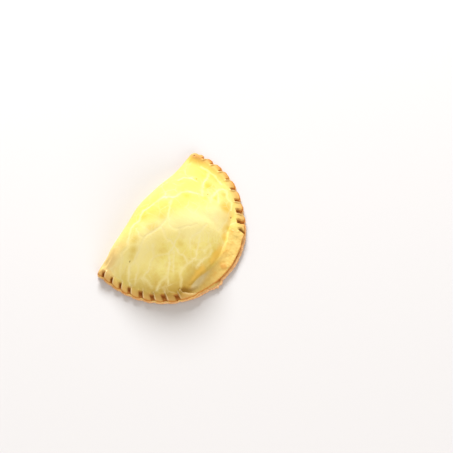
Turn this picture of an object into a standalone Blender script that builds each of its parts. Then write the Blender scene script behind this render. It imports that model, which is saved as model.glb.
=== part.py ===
"""Baked turnover: a disc of pastry folded over its filling into a half moon, its rim pressed with a fork.

One closed solid in metres, +Z up. X runs along the fold, -Y points at the open side of the half moon,
and the origin is the middle of the footprint's box, on the flat base.
"""
import math

import bmesh
import bpy
from mathutils import Vector

MM = 0.001

# Plan outline, polar about the dough disc's centre: 0 degrees is +X, 270 degrees is the front
DISC_RADIUS = 64.7 * MM
FRONT_LEFT_SWELL = (3.1 * MM, 224.0, 41.0)       # height, middle angle and spread of a gentle swelling
FRONT_RIGHT_FLAT = (-3.7 * MM, 315.0, 30.0)      # the flatter side, as a swelling inwards
FOLD_OFFSET = 16.5 * MM                          # fold line behind the disc's centre, at its ends
FOLD_BOW = 2.0 * MM                              # how far the fold bows out at its middle
FOLD_SWELLS = [                                  # and its swellings: height, place along it and spread
    (1.9 * MM, -6.0 * MM, 13.0 * MM),
    (-1.6 * MM, 36.0 * MM, 16.0 * MM),
    (-1.2 * MM, -51.0 * MM, 6.0 * MM),
]
CORNER_ROUNDING = 1.6 * MM
CORNER_REACH = 62.0 * MM                         # a corner's distance from the middle of the fold
FOLD_BLEND_LEFT = 15.0 * MM                      # length over which the left corner grows into the fold
FOLD_BLEND_RIGHT = 50.0 * MM                     # and the right one
LEFT_EAR = (1.4 * MM, 165.0, 4.0)                # the left corner sticks out a little

# Heights of the filled body
CREST_HEIGHT = 34.0 * MM
CREST_BACK = -8.0 * MM                           # crest line's place behind the disc's centre
CREST_MIDDLE = -2.0 * MM
CREST_HALF_LENGTH = 26.0 * MM
CREST_STEP = 4.0 * MM
FOLD_BELLY_HEIGHT = 9.0 * MM                     # the fold is widest at this height
FOLD_UNDERCUT = 4.5 * MM                         # and its foot stands this far in
FOLD_DEPTH = 32.0 * MM                           # the back's curve levels out this far from the fold
FOLD_SQUARENESS = 2.2                            # exponent of the fold's rounded back, 2 is an ellipse
FRONT_CURVE = 2.2                                # the front slope falls with this power of the radius
FULLER_SIDES = [(0.5, 158.0, 34.0), (0.7, 262.0, 40.0)]   # more of it here: by how much, angle and spread
FRONT_FULLNESS = 1.02                            # lower is fuller
FOOT_FILLET = 0.09                               # how softly the slope runs out at its foot
RIGHT_SINK = (7.5 * MM, 2.0 * MM, 44.0 * MM)     # the filling gives out on the right: depth, from and to x
DOME_ROWS = 9

# Rim: distance in from the edge and height, from the base up over the edge to the crease
RIM_ROWS = [
    (1.4 * MM, 0.0),
    (0.3 * MM, 0.45 * MM),
    (0.0, 1.1 * MM),
    (0.75 * MM, 1.75 * MM),
    (0.6 * MM, 2.7 * MM),
    (1.5 * MM, 3.9 * MM),
    (2.9 * MM, 4.7 * MM),
    (4.5 * MM, 5.0 * MM),
    (6.1 * MM, 5.0 * MM),
    (7.8 * MM, 4.7 * MM),
]
LAYER_GAP_ROW = 3                                # the row that lies in the gap between the two layers
UPPER_LAYER_ROW = 4                              # the upper layer's outermost row
CREASE_ROW = len(RIM_ROWS) - 1
OPEN_BAND_STRETCH = 0.85                         # the uncrimped band is wider by this share
OPEN_BAND_SINK = 0.7 * MM
OPEN_GAP_DEPTH = 0.8 * MM
CORNER_LIFT = 2.2 * MM
CORNER_SPREAD = 9.0                              # degrees

# Fork marks, by angle about the disc's centre: the first mark, then the steps to the next ones
LEFT_FIRST_MARK = 169.4
LEFT_MARK_STEPS = [7.0, 7.4, 7.0, 8.3, 7.9, 7.9, 8.6]
RIGHT_FIRST_MARK = 365.1
RIGHT_MARK_STEPS = [-7.4, -8.6, -8.8, -8.6, -10.3, -9.9, -9.3]
MARK_FLOOR = 2.05 * MM
MARK_FLAT_HALF_WIDTH = 1.1 * MM
MARK_HALF_WIDTH = 1.9 * MM
MARK_EDGE_INSET = 1.1 * MM                       # the upper layer is pressed back this far in a mark
RIDGE_HALF_WIDTH = 0.9 * MM

# Open stretch between the last marks: a torn slit at one end, at the other a raised pinch with a hollow
# behind it, and a loose flake of the lower layer
OPEN_START = 234.0
OPEN_END = 292.0
OPEN_FADE = 5.0
BAND_START = 224.0                               # the flat band widens from here
BAND_END = 312.0
BAND_FADE = 22.0
OPEN_STEP = 2.4
SLIT_ANGLE = 294.6
SLIT_HALF_WIDTH = 0.8 * MM
PINCH_ANGLE = 233.0
PINCH_SPREAD = 3.5
PINCH_LIFT = 1.3 * MM
HOLLOW_ANGLE = 230.5
HOLLOW_SPREAD = 2.6
HOLLOW_INSET = 6.4 * MM                          # its middle, in from the edge
HOLLOW_HALF_WIDTH = 2.2 * MM
HOLLOW_FLOOR = 2.5 * MM
FLAKE_ANGLE = 249.5
FLAKE_SPREAD = 2.2
FLAKE_REACH = 2.2 * MM

FOLD_COLUMN_STEP = 3.1 * MM
SHARP_ANGLE = math.radians(40)

CRUST_COLOUR = (0.80, 0.60, 0.23, 1.0)           # pale golden, egg washed
CRUST_ROUGHNESS = 0.5


def clear_scene():
    for old in list(bpy.data.objects):
        bpy.data.objects.remove(old, do_unlink=True)


def smooth_step(value):
    value = max(0.0, min(1.0, value))
    return value * value * (3.0 - 2.0 * value)


def bump(angle, middle, spread):
    """A bell of height one, by angle in degrees."""
    away = (angle - middle + 180.0) % 360.0 - 180.0
    return math.exp(-(away / spread) ** 2)


def left_marks():
    marks = [LEFT_FIRST_MARK]
    for step in LEFT_MARK_STEPS:
        marks.append(marks[-1] + step)
    return marks


def right_marks():
    marks = [RIGHT_FIRST_MARK]
    for step in RIGHT_MARK_STEPS:
        marks.append(marks[-1] + step)
    return marks


def rim_radius(angle):
    radius = DISC_RADIUS
    for height, middle, spread in (FRONT_LEFT_SWELL, FRONT_RIGHT_FLAT):
        radius += height * bump(angle, middle, spread)
    return radius


def fold_line(x):
    """How far behind the disc's centre the fold lies."""
    bow = FOLD_BOW * max(0.0, 1.0 - (x / CORNER_REACH) ** 2)
    swell = sum(height * math.exp(-((x - place) / spread) ** 2) for height, place, spread in FOLD_SWELLS)
    return FOLD_OFFSET + bow + swell


def fold_radius(angle):
    """Distance to the bowed fold line along a ray, or None where the ray misses it."""
    rise = math.sin(math.radians(angle))
    if rise < 0.02:
        return None
    along = FOLD_OFFSET / math.tan(math.radians(angle))
    return fold_line(along) / rise


def outline(angle):
    """Plan point of the outermost edge, about the disc's centre."""
    radius = rim_radius(angle)
    fold = fold_radius(angle)
    if fold is not None:
        over = (fold - radius) / CORNER_ROUNDING
        if abs(over) < 30.0:
            radius = min(fold, radius) - CORNER_ROUNDING * math.log(1.0 + math.exp(-abs(over)))
        else:
            radius = min(fold, radius)
    height, middle, spread = LEFT_EAR
    radius += height * bump(angle, middle, spread)
    turn = math.radians(angle)
    return Vector((radius * math.cos(turn), radius * math.sin(turn)))


def fold_share(angle):
    """Zero all round the pressed rim and at the corners, one along the fold."""
    fold = fold_radius(angle)
    if fold is None or fold > rim_radius(angle):
        return 0.0
    return fold_share_at(outline(angle).x)


def fold_share_at(x):
    return smooth_step((CORNER_REACH - abs(x)) / (FOLD_BLEND_RIGHT if x > 0 else FOLD_BLEND_LEFT))


def stretch_share(angle, start, end, fade):
    """One between two angles, fading to zero just inside them."""
    return smooth_step((angle - start) / fade) * smooth_step((end - angle) / fade)


def mark_share(angle, marks):
    """How deep a fork mark or the slit presses at this angle, from zero to one."""
    share = 0.0
    for middle in marks:
        away = abs(math.radians(angle - middle)) * DISC_RADIUS
        share = max(share, 1.0 - (away - MARK_FLAT_HALF_WIDTH) / (MARK_HALF_WIDTH - MARK_FLAT_HALF_WIDTH))
    slit = abs(math.radians(angle - SLIT_ANGLE)) * DISC_RADIUS
    share = max(share, 1.0 - slit / SLIT_HALF_WIDTH)
    return max(0.0, min(1.0, share))


def inward(angle):
    """Unit vector in from the edge: square to the rim, and towards the crest at the corners and the fold."""
    ahead = outline(angle + 0.5) - outline(angle - 0.5)
    square = Vector((-ahead.y, ahead.x)).normalized()
    home = (crest_point(angle) - outline(angle)).normalized()
    return square.lerp(home, max(fold_share(angle), corner_share(angle))).normalized()


def crest_stations():
    count = round(2.0 * CREST_HALF_LENGTH / CREST_STEP)
    return [CREST_MIDDLE - CREST_HALF_LENGTH + index * CREST_STEP for index in range(count + 1)]


def crest_index(angle):
    """The station of the crest line that a column ends on."""
    stations = crest_stations()
    reach = outline(angle).x / CORNER_REACH
    wanted = CREST_MIDDLE + CREST_HALF_LENGTH * max(-1.0, min(1.0, 1.35 * reach))
    return min(range(len(stations)), key=lambda index: abs(stations[index] - wanted))


def crest_point(angle):
    return Vector((crest_stations()[crest_index(angle)], CREST_BACK))


def crease_inset(angle):
    """Width of the pressed rim, wider along the open stretch."""
    widened = stretch_share(angle, BAND_START, BAND_END, BAND_FADE)
    return RIM_ROWS[CREASE_ROW][0] * (1.0 + OPEN_BAND_STRETCH * widened)


def dome_height(place, foot_height):
    """Height of the filled body: it falls off to the crease all round the rim, and rounds over to the fold."""
    angle = math.degrees(math.atan2(place.y, place.x)) % 360.0
    depth = max(0.0, min(1.0, (fold_line(place.x) - place.y) / FOLD_DEPTH))
    rolled = fold_share_at(place.x) * (1.0 - depth) ** 2
    radius = min(1.0, place.length / (rim_radius(angle) - crease_inset(angle) * (1.0 - rolled)))
    curve = FRONT_CURVE + sum(more * bump(angle, middle, spread) for more, middle, spread in FULLER_SIDES)
    front = (1.0 - radius ** curve) ** FRONT_FULLNESS
    front = front ** 2 * (1.0 + FOOT_FILLET) / (front + FOOT_FILLET)
    back = (1.0 - (1.0 - depth) ** FOLD_SQUARENESS) ** (1.0 / FOLD_SQUARENESS)
    sink, start, end = RIGHT_SINK
    crest = CREST_HEIGHT - sink * smooth_step((place.x - start) / (end - start))
    return foot_height + (crest - foot_height) * front * back


def corner_share(angle):
    return max(bump(angle, 14.0, CORNER_SPREAD), bump(angle, 166.0, CORNER_SPREAD))


def rim_section(angle, marks, reach):
    """Distance in of every row, and height of the rows up to the crease, where the two layers are pressed."""
    opened = stretch_share(angle, OPEN_START, OPEN_END, OPEN_FADE)
    pressed = mark_share(angle, marks)
    flake = FLAKE_REACH * bump(angle, FLAKE_ANGLE, FLAKE_SPREAD)
    crease = crease_inset(angle)
    insets = []
    heights = []
    for row, (inset, height) in enumerate(RIM_ROWS):
        inset *= crease / RIM_ROWS[CREASE_ROW][0]
        if row == LAYER_GAP_ROW:
            inset += OPEN_GAP_DEPTH * opened
        if 0 < row < LAYER_GAP_ROW:
            inset -= flake
        if row >= UPPER_LAYER_ROW:
            share = min(1.0, (row - UPPER_LAYER_ROW + 1) / (CREASE_ROW - UPPER_LAYER_ROW))
            height += (CORNER_LIFT * corner_share(angle) - OPEN_BAND_SINK * opened) * share
        if UPPER_LAYER_ROW <= row < CREASE_ROW:
            hollow = math.exp(-((inset - HOLLOW_INSET) / HOLLOW_HALF_WIDTH) ** 2)
            height += PINCH_LIFT * bump(angle, PINCH_ANGLE, PINCH_SPREAD) * (1.0 - hollow)
            height += (HOLLOW_FLOOR - height) * hollow * bump(angle, HOLLOW_ANGLE, HOLLOW_SPREAD)
            height += (MARK_FLOOR - height) * pressed
        if row == UPPER_LAYER_ROW:
            inset += (MARK_EDGE_INSET - inset) * pressed
        insets.append(inset)
        heights.append(height)
    insets += [crease + (reach - crease) * row / (DOME_ROWS + 1) for row in range(1, DOME_ROWS + 1)]
    return insets, heights


def fold_section(reach):
    """The same rows over the fold: a curved foot, then the belly and the rounded back."""
    foot_rows = LAYER_GAP_ROW + 1
    back_rows = CREASE_ROW - LAYER_GAP_ROW + DOME_ROWS
    insets = []
    heights = []
    for row in range(foot_rows):
        turn = 0.5 * math.pi * row / foot_rows
        insets.append(FOLD_UNDERCUT * (1.0 - math.sin(turn)))
        heights.append(FOLD_BELLY_HEIGHT * (1.0 - math.cos(turn)))
    for row in range(back_rows):
        turn = 0.5 * math.pi * row / back_rows
        insets.append(reach * (1.0 - math.cos(turn) ** (2.0 / FOLD_SQUARENESS)))
    return insets, heights


def column_points(angle, marks):
    """Points of one column, from the base up over the edge to the row before the crest line."""
    edge = outline(angle)
    crest = crest_point(angle)
    reach = (crest - edge).length
    share = fold_share(angle)
    rim_insets, rim_heights = rim_section(angle, marks, reach)
    fold_insets, fold_heights = fold_section(reach)
    bend = rim_insets[CREASE_ROW]
    knee = edge + inward(angle) * bend
    plain_foot = RIM_ROWS[CREASE_ROW][1]
    foot = rim_heights[CREASE_ROW] + (FOLD_BELLY_HEIGHT - rim_heights[CREASE_ROW]) * share
    points = []
    for row, (rim_inset, fold_inset) in enumerate(zip(rim_insets, fold_insets)):
        inset = rim_inset + (fold_inset - rim_inset) * share
        along = max(0.0, (inset - bend) / (reach - bend))
        place = knee.lerp(crest, along) if along > 0.0 else edge + inward(angle) * inset
        height = dome_height(place, plain_foot + (foot - plain_foot) * (1.0 - along) ** 2)
        if row < CREASE_ROW:
            folded = fold_heights[row] if row <= LAYER_GAP_ROW else height
            height = rim_heights[row] + (folded - rim_heights[row]) * share
        points.append(Vector((place.x, place.y, height)))
    return points


def column_angles(marks):
    """Angles of all columns: close round each mark, wider along the open stretch and the fold."""
    degrees_per_metre = math.degrees(1.0 / DISC_RADIUS)
    flat = MARK_FLAT_HALF_WIDTH * degrees_per_metre
    wall = MARK_HALF_WIDTH * degrees_per_metre
    ridge = RIDGE_HALF_WIDTH * degrees_per_metre
    slit = SLIT_HALF_WIDTH * degrees_per_metre
    angles = []
    for middle in marks:
        angles += [middle - wall, middle - flat, middle, middle + flat, middle + wall]
    for side in (left_marks(), sorted(right_marks())):
        for first, second in zip(side, side[1:]):
            middle = 0.5 * (first + second)
            angles += [middle - ridge, middle + ridge]
    last_left = left_marks()[-1] + wall
    first_right = SLIT_ANGLE - slit
    angles += [first_right, SLIT_ANGLE, SLIT_ANGLE + slit, 0.5 * (SLIT_ANGLE + min(right_marks()))]
    steps = round((first_right - last_left) / OPEN_STEP)
    angles += [last_left + (first_right - last_left) * index / steps for index in range(1, steps)]

    first_fold = max(right_marks()) + wall - 360.0
    last_fold = min(left_marks()) - wall
    corner_a = math.degrees(math.atan2(FOLD_OFFSET, CORNER_REACH))
    steps = 5
    angles += [first_fold + (corner_a - first_fold) * index / steps + 360.0 for index in range(1, steps)]
    angles += [last_fold + (180.0 - corner_a - last_fold) * index / steps + 360.0 for index in range(1, steps)]
    count = round(2.0 * CORNER_REACH / FOLD_COLUMN_STEP)
    for index in range(count + 1):
        x = CORNER_REACH * (1.0 - 2.0 * index / count)
        angles.append(math.degrees(math.atan2(FOLD_OFFSET, x)) + 360.0)
    return sorted(angle % 360.0 for angle in angles)


def strip_faces(bm, lower, upper):
    """Faces between two closed rows, with a triangle where two neighbours share their upper point."""
    count = len(lower)
    for index in range(count):
        after = (index + 1) % count
        corners = [lower[index], lower[after], upper[after], upper[index]]
        if upper[index] is upper[after]:
            corners.pop()
        bm.faces.new(corners)


def turnover_mesh():
    """The whole crust as one closed skin: top and base both end on a line of shared points."""
    marks = left_marks() + right_marks()
    angles = column_angles(marks)
    columns = [column_points(angle, marks) for angle in angles]
    bm = bmesh.new()
    rows = [[bm.verts.new(column[row]) for column in columns] for row in range(len(columns[0]))]
    for lower, upper in zip(rows, rows[1:]):
        strip_faces(bm, lower, upper)
    stations = crest_stations()
    middle = RIM_ROWS[CREASE_ROW][1]
    top_line = [bm.verts.new((x, CREST_BACK, dome_height(Vector((x, CREST_BACK)), middle))) for x in stations]
    base_line = [bm.verts.new((x, CREST_BACK, 0.0)) for x in stations]
    strip_faces(bm, rows[-1], [top_line[crest_index(angle)] for angle in angles])
    strip_faces(bm, rows[0], [base_line[crest_index(angle)] for angle in angles])
    bmesh.ops.recalc_face_normals(bm, faces=bm.faces)
    return bm


def centre_on_footprint(bm):
    """Move the middle of the footprint's box to the origin."""
    xs = [vert.co.x for vert in bm.verts]
    ys = [vert.co.y for vert in bm.verts]
    middle = Vector((0.5 * (min(xs) + max(xs)), 0.5 * (min(ys) + max(ys)), 0.0))
    bmesh.ops.translate(bm, vec=-middle, verts=bm.verts)


def crust_material():
    material = bpy.data.materials.new("crust")
    material.use_nodes = True
    shader = material.node_tree.nodes["Principled BSDF"]
    shader.inputs["Base Color"].default_value = CRUST_COLOUR
    shader.inputs["Roughness"].default_value = CRUST_ROUGHNESS
    shader.inputs["Metallic"].default_value = 0.0
    return material


def build_turnover():
    bm = turnover_mesh()
    centre_on_footprint(bm)
    mesh = bpy.data.meshes.new("turnover")
    bm.to_mesh(mesh)
    bm.free()
    mesh.shade_smooth()
    mesh.set_sharp_from_angle(angle=SHARP_ANGLE)
    mesh.materials.append(crust_material())
    turnover = bpy.data.objects.new("turnover", mesh)
    bpy.context.scene.collection.objects.link(turnover)
    return turnover


clear_scene()
build_turnover()
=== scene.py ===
import math
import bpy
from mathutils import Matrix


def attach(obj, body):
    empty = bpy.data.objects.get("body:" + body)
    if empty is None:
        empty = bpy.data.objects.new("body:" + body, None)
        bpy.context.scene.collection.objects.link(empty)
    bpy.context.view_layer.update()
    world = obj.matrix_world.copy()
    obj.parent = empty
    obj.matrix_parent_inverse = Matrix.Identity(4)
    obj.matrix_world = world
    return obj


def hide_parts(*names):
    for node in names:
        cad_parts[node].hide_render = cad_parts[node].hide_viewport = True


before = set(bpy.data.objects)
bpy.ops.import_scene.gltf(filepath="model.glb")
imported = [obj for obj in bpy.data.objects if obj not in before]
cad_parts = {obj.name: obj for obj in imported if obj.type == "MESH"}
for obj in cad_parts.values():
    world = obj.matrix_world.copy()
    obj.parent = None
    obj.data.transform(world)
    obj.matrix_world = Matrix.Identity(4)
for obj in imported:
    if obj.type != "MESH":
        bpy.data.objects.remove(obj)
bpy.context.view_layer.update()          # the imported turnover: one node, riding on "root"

from types import SimpleNamespace
import bmesh
import bpy
import numpy as np
from mathutils import Vector, noise

mm = 0.001

# the dough: a disc folded in half over its filling, in millimetres and degrees about the disc's middle,
# where 0 degrees is +X and 270 degrees is the front
form = {
    "discMiddle": (0.70, 22.49),           # where the disc's middle lies in the frame
    "discRadius": 64.7,
    "leftSwell": (3.1, 224.0, 41.0),       # a gentle swelling: height, angle, spread
    "rightFlat": (-3.7, 315.0, 30.0),
    "leftEar": (1.4, 165.0, 4.0),          # the left corner sticks out
    "foldBack": 16.5,                      # the fold lies behind the disc's middle
    "foldBow": 2.0,
    # swellings and hollows of the fold: height, place along it, spread
    "foldSwells": [(1.9, -6.0, 13.0), (-1.6, 36.0, 16.0), (-1.2, -51.0, 6.0)],
    "cornerReach": 62.0,
    "cornerRounding": 1.6,
    "foldBlendLeft": 15.0,                 # the corners grow into the fold over this length
    "foldBlendRight": 50.0,
    "cornerAngles": (14.0, 166.0),
    "cornerSpread": 9.0,
    "cornerLift": 2.2,
    "cornerLiftArea": 110.0,
    "crestHeight": 34.0,
    "rightSink": (7.5, 2.0, 44.0),         # the filling gives out towards the right: depth, from and to x
    "crestBack": -8.0,
    "crestHalfLength": 26.0,
    "bellyHeight": 9.0,                    # the fold is widest here
    "footIn": 4.5,                         # and its foot stands this far under
    "foldDepth": 32.0,
    "foldSquareness": 2.2,
    "frontCurve": 2.2,
    "fuller": [(0.5, 158.0, 34.0), (0.7, 262.0, 40.0)],   # fuller here: by how much, angle, spread
    "footFillet": 0.14,                    # how softly the body's foot runs out
    "frontFullness": 1.02,
    "creaseHeight": 4.7,
    "openStretch": (234.0, 292.0, 5.0),    # the fork has missed this stretch: from, to, fade
    "wideBand": (224.0, 312.0, 22.0),      # where the flat band is wider
    "bandWidening": 0.85,
    "bandSink": 0.1,
}

# rows of the cage from the crease out over the edge and under it: distance in from the outline and height,
# where the rim is crimped and where the fork has missed it
rimRows = [
    (7.8, 4.70, 14.4, 4.60),
    (6.3, 5.00, 11.6, 4.50),
    (4.8, 5.05, 8.6, 4.30),
    (3.4, 4.90, 5.6, 4.15),
    (2.3, 4.55, 3.2, 4.05),
    (1.4, 4.00, 2.5, 3.85),
    (0.85, 3.30, 2.2, 3.20),
    (0.9, 2.65, 2.3, 2.75),
    (1.9, 2.20, 2.9, 2.45),
    (0.8, 1.80, 1.6, 2.40),
    (0.05, 1.25, 0.1, 1.85),
    (0.3, 0.50, 0.3, 0.60),
    (1.3, 0.00, 1.3, 0.00),
    (4.5, 0.00, 4.5, 0.00),
]
gapRow = 8                 # between the upper and the lower layer of dough
lowerEdgeRow = 10

forkMarks = {
    # each mark, from a corner to the front: angle, breadth, how far in from the outline it reaches,
    # and how dark its inner and its outer end are, browned and with painted shade
    "left": [
        (169.4, 0.80, 4.4, 0.75, 0.50),
        (176.4, 0.80, 5.0, 1.00, 0.40),
        (183.8, 0.75, 5.4, 1.00, 0.25),
        (190.8, 0.90, 5.6, 0.85, 0.50),
        (199.1, 1.20, 6.2, 1.00, 0.60),
        (207.0, 1.00, 5.6, 0.80, 0.75),
        (214.9, 1.25, 6.4, 0.90, 0.85),
        (223.5, 1.05, 5.8, 1.00, 0.35),
    ],
    "right": [
        (365.1, 0.55, 2.6, 0.00, 0.60),
        (357.7, 0.60, 2.8, 0.00, 0.65),
        (349.1, 0.60, 3.0, 0.00, 0.55),
        (340.3, 0.70, 3.4, 0.10, 0.75),
        (330.6, 0.95, 4.2, 0.55, 0.90),
        (320.1, 1.25, 4.8, 0.55, 0.95),
        (310.2, 1.70, 5.8, 0.70, 0.85),
        (300.9, 1.70, 6.2, 0.65, 0.85),
    ],
    # each side: which way the front lies, where the dark spot sits in a mark and how broad it is
    "sides": {"left": (1.0, 0.1, 1.2), "right": (-1.0, 0.55, 1.45)},
    # crimped stretches: from, to and fade, the right one counted on from 180 degrees
    "leftCrimp": (163.0, 227.0, 3.0),
    "rightCrimp": (118.5, 190.0, 3.0),
    "rightSide": (95.0, 205.0, 10.0),
    "lastPitch": 7.5,              # from the last mark of a side to where the next one would be
    "crispEdge": (0.8, 0.65),      # how far from a mark's wall it stands, and its half width
    "innerSpot": (1.3, 1.5),       # how far from a mark's inner end it lies, and its half length
    "outerSpot": (0.8, 1.7),       # and the same from the outline
    "floorHeight": (1.9, 2.4),     # at the inner and the outer end of a mark
    "floorHalfWidth": 1.05,
    "steepWall": 0.5,              # on the side towards the front
    "gentleWall": (1.1, 0.7),      # on the left and on the right
    "endRounding": 1.0,
    "slant": 0.40,                 # the outer end of a mark leans to the front
    "edgeLift": 0.65,              # every ridge begins with a crisp raised edge beside a mark
    "fall": (1.5, 1.6),            # and falls this far to the next one, on the left and on the right
    "notch": (0.9, 1.6),           # how far the outline draws in at a mark
    "bulge": (0.5, 0.9),           # and swells between two of them
}


def smoothStep(value):
    value = np.clip(value, 0.0, 1.0)
    return value * value * (3.0 - 2.0 * value)


def turnFrom(angle, middle):
    return (np.asarray(angle, float) - middle + 180.0) % 360.0 - 180.0


def bell(angle, middle, spread):
    return np.exp(-(turnFrom(angle, middle) / spread) ** 2)


def stretch(angle, start, end, fade):
    return smoothStep((angle - start) / fade) * smoothStep((end - angle) / fade)


# the same for a stretch on the right, which 0 degrees would break in two
def rightStretch(angle, start, end, fade):
    return stretch((angle - 180.0) % 360.0, start, end, fade)


def rimRadius(angle):
    swell, flat = form["leftSwell"], form["rightFlat"]
    return form["discRadius"] + swell[0] * bell(angle, *swell[1:]) + flat[0] * bell(angle, *flat[1:])


def foldLine(x):
    bow = form["foldBow"] * np.maximum(0.0, 1.0 - (x / form["cornerReach"]) ** 2)
    swell = sum(height * np.exp(-((x - place) / spread) ** 2) for height, place, spread in form["foldSwells"])
    return form["foldBack"] + bow + swell


def foldShareAt(x):
    blendLength = np.where(np.asarray(x) > 0.0, form["foldBlendRight"], form["foldBlendLeft"])
    return smoothStep((form["cornerReach"] - np.abs(x)) / blendLength)


def cornerShare(angle):
    return np.maximum(*[bell(angle, corner, form["cornerSpread"]) for corner in form["cornerAngles"]])


def creaseInset(angle):
    return rimRows[0][0] * (1.0 + form["bandWidening"] * stretch(angle, *form["wideBand"]))


# plan outline: the rim's circle and the fold line, joined with soft corners
def outlineRadius(angle):
    turn = np.radians(np.asarray(angle, float))
    rise = np.maximum(np.sin(turn), 0.02)
    rim = rimRadius(angle)
    fold = foldLine(form["foldBack"] * np.cos(turn) / rise) / rise
    over = np.minimum(30.0, np.abs(fold - rim) / form["cornerRounding"])
    corner = np.minimum(fold, rim) - form["cornerRounding"] * np.log1p(np.exp(-over))
    return np.where(np.sin(turn) > 0.02, corner, rim) + form["leftEar"][0] * bell(angle, *form["leftEar"][1:])


def outlinePoint(angle):
    radius, turn = float(outlineRadius(angle)), math.radians(angle)
    return Vector((radius * math.cos(turn), radius * math.sin(turn)))


def foldShare(angle):
    rise = math.sin(math.radians(angle))
    if rise < 0.02 or form["foldBack"] / rise > rimRadius(angle):
        return 0.0
    return float(foldShareAt(outlinePoint(angle).x))


# the filled body rises from the crease round the rim, and from the belly along the fold
def footHeight(x, y):
    angle = np.degrees(np.arctan2(y, x)) % 360.0
    depth = np.clip((foldLine(x) - y) / form["foldDepth"], 0.0, 1.0)
    lift = form["bellyHeight"] - form["creaseHeight"]
    foot = form["creaseHeight"] + lift * foldShareAt(x) * (1.0 - depth) ** 2
    for corner in form["cornerAngles"]:
        place = outlinePoint(corner)
        away = (x - place.x) ** 2 + (y - place.y) ** 2
        foot = foot + form["cornerLift"] * np.exp(-away / form["cornerLiftArea"])
    nearRim = np.clip(np.hypot(x, y) / rimRadius(angle), 0.0, 1.0) ** 8
    return foot - form["bandSink"] * stretch(angle, *form["openStretch"]) * nearRim


def domeHeight(x, y):
    angle = np.degrees(np.arctan2(y, x)) % 360.0
    foot = footHeight(x, y)
    depth = np.clip((foldLine(x) - y) / form["foldDepth"], 0.0, 1.0)
    rolled = foldShareAt(x) * (1.0 - depth) ** 2       # beside the fold the body rises from its very edge
    radius = np.minimum(1.0, np.hypot(x, y) / (rimRadius(angle) - creaseInset(angle) * (1.0 - rolled)))
    curve = form["frontCurve"] + sum(more * bell(angle, *where) for more, *where in form["fuller"])
    front = (1.0 - radius ** curve) ** form["frontFullness"]
    front = front ** 2 * (1.0 + form["footFillet"]) / (front + form["footFillet"])
    back = (1.0 - (1.0 - depth) ** form["foldSquareness"]) ** (1.0 / form["foldSquareness"])
    sink, sinkStart, sinkEnd = form["rightSink"]
    crest = form["crestHeight"] - sink * smoothStep((x - sinkStart) / (sinkEnd - sinkStart))
    return foot + (crest - foot) * front * back


# the cage: a ring along the crease, filled with a grid for the body and extruded out round the rim
cage = {
    "frontColumns": 46,
    "markWall": 1.67,      # degrees from a mark's middle to the columns beside it
    "markFloor": 0.97,
    "cornerAngles": (15.0, 164.6),
    "evening": 80,         # rounds of smoothing that even out the grid in plan
    # where the slopes are eased: from and to x, from and to y, the last row and the rounds of smoothing
    "eased": [
        (-64.0, -42.0, 4.0, 22.0, 6.5, 2),
        (14.0, 50.0, -52.0, -12.0, 1.5, 24),
        (38.0, 66.0, -6.0, 26.0, 5.5, 5),
    ],
    "subdivisions": 2,
}


# angles of one side's columns: five over each mark and one on each ridge
def columnsOverMarks(start, marks, end, before, after):
    wall, floor = cage["markWall"], cage["markFloor"]
    first, last = marks[0] - wall, marks[-1] + wall
    angles = [start + (first - start) * step / before for step in range(before)]
    for index, mark in enumerate(marks):
        angles += [mark - wall, mark - floor, mark, mark + floor, mark + wall]
        if index + 1 < len(marks):
            angles.append(0.5 * (mark + marks[index + 1]))
    return angles + [last + (end - last) * step / after for step in range(1, after)]


def columnAngles():
    openStart, openEnd = form["openStretch"][0] + 0.6, form["openStretch"][1] + 0.8
    cornerA, cornerB = cage["cornerAngles"]
    steps = cage["frontColumns"]
    marks = {side: sorted(mark[0] for mark in forkMarks[side]) for side in ("left", "right")}
    angles = columnsOverMarks(openEnd, marks["right"], 360.0 + cornerA, 7, 5)
    right, left = outlinePoint(cornerA).x, outlinePoint(cornerB).x
    for x in [right + (left - right) * step / steps for step in range(steps)]:
        angles.append(360.0 + math.degrees(math.atan2(float(foldLine(x)), x)))
    angles += [360.0 + angle for angle in columnsOverMarks(cornerB, marks["left"], openStart, 4, 8)]
    return angles + [360.0 + openStart + (openEnd - openStart) * step / steps for step in range(steps)]


def inward(angle):
    ahead = outlinePoint(angle + 0.5) - outlinePoint(angle - 0.5)
    square = Vector((-ahead.y, ahead.x)).normalized()
    edge = outlinePoint(angle)
    reach = max(-1.0, min(1.0, 1.35 * edge.x / form["cornerReach"]))
    home = (Vector((form["crestHalfLength"] * reach, form["crestBack"])) - edge).normalized()
    return square.lerp(home, float(cornerShare(angle))).normalized()


# distance in and height of a row over the fold: down the back, round the belly and under
def foldRow(row):
    if row < gapRow:
        turn = math.radians(42.0) * (1.0 - row / (gapRow - 1))
        return form["foldDepth"] * (1.0 - math.cos(turn) ** (2.0 / form["foldSquareness"])), None
    if row < len(rimRows) - 1:
        turn = math.radians(90.0) * (row - gapRow + 1) / (len(rimRows) - 1 - gapRow)
        return form["footIn"] * (1.0 - math.cos(turn)), form["bellyHeight"] * (1.0 - math.sin(turn))
    return form["footIn"] + 3.0, 0.0


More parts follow.
